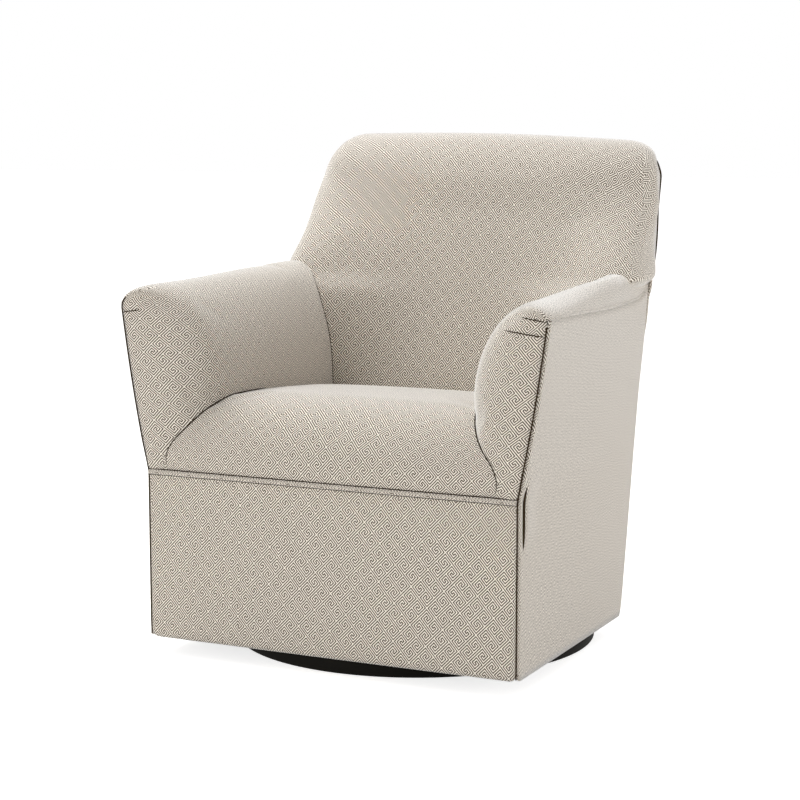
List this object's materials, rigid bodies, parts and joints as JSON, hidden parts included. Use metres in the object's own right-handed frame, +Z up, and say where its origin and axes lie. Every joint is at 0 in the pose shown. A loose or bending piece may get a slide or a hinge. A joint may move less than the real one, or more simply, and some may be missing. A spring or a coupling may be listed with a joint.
{
  "type": "swivel glider chair",
  "caption": "Upholstered low-back armchair with flared arms and a tight seat, that turns on a flat floor ring and glides to and fro on hidden swing links.",
  "frame": {"origin": "on the floor, below the middle of the chair's overall box", "axes": "+Z up, the chair faces -Y, +X is the sitter's left"},
  "size_m": [0.7492, 0.7375, 0.865],
  "materials": {
    "key_weave_fabric": "matte jacquard weave with a small meander pattern in cream and taupe",
    "frame_timber": "sawn hardwood, hidden inside the cover",
    "black_enamel": "satin black enamel",
    "zinc_plated_steel": "bright zinc plating",
    "spring_steel": "dark drawn wire",
    "nylon": "natural nylon",
    "glide_plastic": "black plastic",
    "elastic_webbing": "woven elastic strap",
    "black_cambric": "thin non-woven cambric"
  },
  "bodies": {
    "base": {"base_ring": "black_enamel", "base_spider": "black_enamel", "floor_glide_left": "glide_plastic", "floor_glide_right": "glide_plastic", "floor_glide_front": "glide_plastic", "floor_glide_rear": "glide_plastic", "king_pin": "zinc_plated_steel", "king_nut": "zinc_plated_steel"},
    "turntable": {"swivel_bearing": "zinc_plated_steel", "swivel_plate": "zinc_plated_steel", "glide_carriage": "zinc_plated_steel", "front_left_bush": "nylon", "front_right_bush": "nylon", "rear_left_bush": "nylon", "rear_right_bush": "nylon"},
    "front_swing": {"front_shaft": "zinc_plated_steel", "front_left_link": "zinc_plated_steel", "front_left_rivet": "zinc_plated_steel", "front_right_link": "zinc_plated_steel", "front_right_rivet": "zinc_plated_steel"},
    "rear_swing": {"rear_shaft": "zinc_plated_steel", "rear_left_link": "zinc_plated_steel", "rear_left_rivet": "zinc_plated_steel", "rear_right_link": "zinc_plated_steel", "rear_right_rivet": "zinc_plated_steel"},
    "seat": {"front_bottom_rail": "frame_timber", "rear_bottom_rail": "frame_timber", "left_bottom_rail": "frame_timber", "right_bottom_rail": "frame_timber", "left_stretcher": "frame_timber", "right_stretcher": "frame_timber", "left_glide_rail": "zinc_plated_steel", "right_glide_rail": "zinc_plated_steel", "front_seat_rail": "frame_timber", "rear_seat_rail": "frame_timber", "left_seat_rail": "frame_timber", "right_seat_rail": "frame_timber", "left_front_post": "frame_timber", "right_front_post": "frame_timber", "left_back_post": "frame_timber", "right_back_post": "frame_timber", "left_arm_rail": "frame_timber", "right_arm_rail": "frame_timber", "back_top_rail": "frame_timber", "seat_spring_1": "spring_steel", "seat_spring_2": "spring_steel", "seat_spring_3": "spring_steel", "seat_spring_4": "spring_steel", "back_webbing_1": "elastic_webbing", "back_webbing_2": "elastic_webbing", "left_outside_arm": "key_weave_fabric", "right_outside_arm": "key_weave_fabric", "outside_back": "key_weave_fabric", "front_border": "key_weave_fabric", "left_dust_cover": "black_cambric", "right_dust_cover": "black_cambric", "seat_cushion": "key_weave_fabric", "back_pad": "key_weave_fabric", "left_arm_pad": "key_weave_fabric", "right_arm_pad": "key_weave_fabric"}
  },
  "joints": [
    {"name": "swivel", "type": "hinge", "parent": "base", "child": "turntable", "pos_m": [0, -0.0287, 0], "axis": [0, 0, 1], "continuous": true},
    {"name": "front_swing_pivot", "type": "hinge", "parent": "turntable", "child": "front_swing", "pos_m": [0, -0.1887, 0.205], "axis": [1, 0, 0], "range_deg": [-24, 24]},
    {"name": "rear_swing_pivot", "type": "hinge", "parent": "turntable", "child": "rear_swing", "pos_m": [0, -0.0087, 0.205], "axis": [1, 0, 0], "range_deg": [-24, 24]},
    {"name": "seat_pivot", "type": "hinge", "parent": "front_swing", "child": "seat", "pos_m": [0, -0.1887, 0.09], "axis": [1, 0, 0], "range_deg": [-24, 24]}
  ],
  "couplings": [
    {"joint": "rear_swing_pivot", "follows": "front_swing_pivot", "ratio": 1},
    {"joint": "seat_pivot", "follows": "front_swing_pivot", "ratio": -1}
  ]
}
